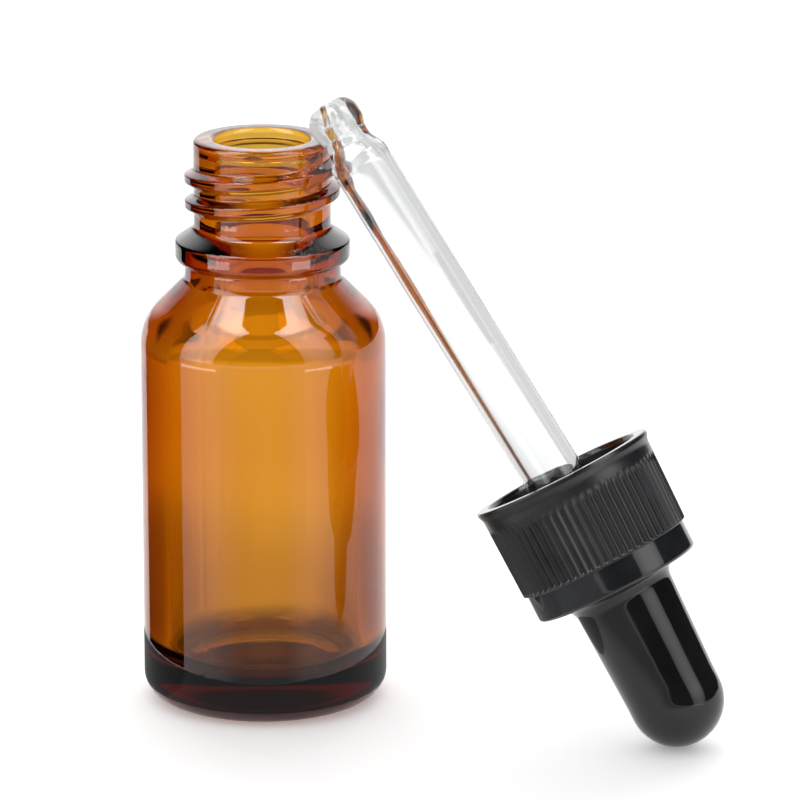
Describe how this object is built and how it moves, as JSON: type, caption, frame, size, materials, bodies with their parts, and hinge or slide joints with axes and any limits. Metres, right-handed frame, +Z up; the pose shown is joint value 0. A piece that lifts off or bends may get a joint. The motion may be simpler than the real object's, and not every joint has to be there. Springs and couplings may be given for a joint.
{
  "type": "dropper bottle",
  "caption": "Small round amber glass bottle with a screw finish, open, with its screw cap, rubber bulb and glass pipette leaning on the mouth.",
  "frame": {"origin": "centre of the bottle's base, on the floor it stands on", "axes": "+Z up along the bottle's axis, out of its mouth; the dropper leans in the XZ plane with its bulb on the floor at +X"},
  "size_m": [0.0713, 0.0286, 0.0726],
  "materials": {
    "amber_glass": "clear amber moulded glass, glossy",
    "black_plastic": "moulded polypropylene, satin ribs and a glossier step",
    "black_rubber": "smooth glossy rubber",
    "clear_glass": "clear drawn glass, fire polished"
  },
  "bodies": {
    "bottle": {"glass_bottle": "amber_glass"},
    "pipette": {"glass_pipette": "clear_glass"},
    "cap": {"screw_cap": "black_plastic"},
    "bulb": {"rubber_bulb": "black_rubber"}
  },
  "joints": [
    {"name": "dropper_lift_away", "type": "slide", "parent": "bottle", "child": "pipette", "axis": [0.8231, 0, 0.5678], "range_m": [0, 0.06]},
    {"name": "cap_turn", "type": "hinge", "parent": "pipette", "child": "cap", "pos_m": [0.04257, 0, 0.02136], "axis": [-0.4909, 0, 0.8712], "continuous": true},
    {"name": "bulb_squeeze", "type": "slide", "parent": "pipette", "child": "bulb", "axis": [-0.4909, 0, 0.8712], "range_m": [0, 0.005], "stiffness_N_per_m": 600, "deforming": ["rubber_bulb"]}
  ]
}
